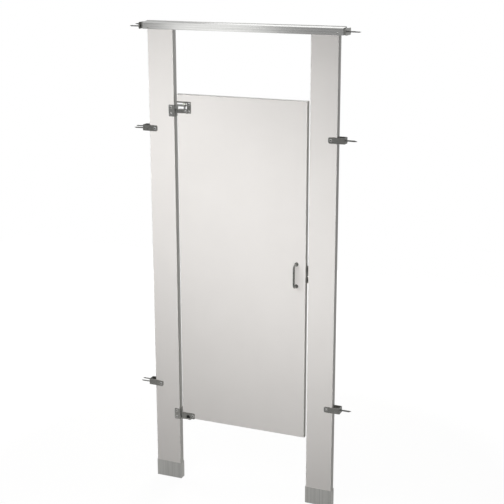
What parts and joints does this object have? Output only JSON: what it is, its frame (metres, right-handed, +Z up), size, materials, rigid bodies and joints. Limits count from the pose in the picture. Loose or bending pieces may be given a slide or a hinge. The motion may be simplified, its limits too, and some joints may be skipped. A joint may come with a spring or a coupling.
{
  "type": "toilet cubicle",
  "caption": "Toilet cubicle front fixed between side walls: slim pilasters under a headrail, out-swinging door on self-closing rising-cam hinges, slide latch, pull and coat hook",
  "frame": {"origin": "on the floor in the middle of the doorway, midway through the pilasters' thickness; it is the centre of the foot plates' anchor holes", "axes": "+X to the right seen from outside, +Y into the cubicle, +Z up"},
  "size_m": [1.0044, 0.1144, 2.078],
  "materials": {
    "enamelled_steel": "smooth baked enamel, satin",
    "honeycomb": "plain kraft board",
    "edge_steel": "fine satin",
    "shoe_steel": "fine satin",
    "plated_steel": "zinc plated",
    "satin_aluminium": "satin anodised",
    "bracket_metal": "dull chrome plate",
    "cast_metal": "dull chrome plate on castings",
    "bright_fasteners": "bright plate",
    "pin_steel": "ground",
    "latch_steel": "fine satin",
    "nylon": "natural white nylon",
    "black_acetal": "black acetal",
    "black_rubber": "plain"
  },
  "bodies": {
    "frame": {"left_pilaster_front_sheet": "enamelled_steel", "left_pilaster_back_sheet": "enamelled_steel", "left_pilaster_core": "honeycomb", "left_pilaster_crown": "edge_steel", "right_pilaster_front_sheet": "enamelled_steel", "right_pilaster_back_sheet": "enamelled_steel", "right_pilaster_core": "honeycomb", "right_pilaster_crown": "edge_steel", "left_shoe": "shoe_steel", "right_shoe": "shoe_steel", "shoe_screws": "bright_fasteners", "left_levelling_bar": "plated_steel", "right_levelling_bar": "plated_steel", "left_foot_plate": "plated_steel", "right_foot_plate": "plated_steel", "levelling_studs": "plated_steel", "levelling_nuts": "plated_steel", "headrail": "satin_aluminium", "left_rail_bracket": "bracket_metal", "right_rail_bracket": "bracket_metal", "rail_wall_screws": "bright_fasteners", "rail_fixing_screws": "bright_fasteners", "left_upper_stirrup": "bracket_metal", "left_lower_stirrup": "bracket_metal", "right_upper_stirrup": "bracket_metal", "right_lower_stirrup": "bracket_metal", "stirrup_wall_screws": "bright_fasteners", "frame_sleeve_nuts": "bright_fasteners", "frame_bolts": "bright_fasteners", "upper_hinge_arm": "cast_metal", "lower_hinge_arm": "cast_metal", "upper_hinge_bush": "nylon", "lower_hinge_pin": "pin_steel", "lower_cam": "black_acetal", "keeper": "cast_metal", "keeper_screws": "bright_fasteners", "keeper_bumper": "black_rubber"},
    "hinge_pin": {"upper_hinge_pin": "pin_steel"},
    "door": {"door_front_sheet": "enamelled_steel", "door_back_sheet": "enamelled_steel", "door_core": "honeycomb", "door_crown": "edge_steel", "upper_door_casting": "cast_metal", "lower_door_casting": "cast_metal", "upper_cam": "black_acetal", "door_sleeve_nuts": "bright_fasteners", "door_bolts": "bright_fasteners", "latch_housing": "cast_metal", "latch_screws": "bright_fasteners", "door_pull": "cast_metal", "coat_hook": "cast_metal", "hook_screws": "bright_fasteners", "hook_tip": "black_rubber"},
    "latch": {"latch_bolt": "latch_steel", "latch_knob": "latch_steel"}
  },
  "joints": [
    {"name": "door_rise", "type": "slide", "parent": "frame", "child": "hinge_pin", "axis": [0, 0, 1], "range_m": [0, 0.0049]},
    {"name": "door_swing", "type": "hinge", "parent": "hinge_pin", "child": "door", "pos_m": [-0.2637, 0, 0.3048], "axis": [0, 0, -1], "range_deg": [0, 110]},
    {"name": "latch_slide", "type": "slide", "parent": "door", "child": "latch", "axis": [1, 0, 0], "range_m": [0, 0.025]}
  ],
  "couplings": [
    {"joint": "door_rise", "follows": "door_swing", "m_per_rad": 0.0025465}
  ]
}
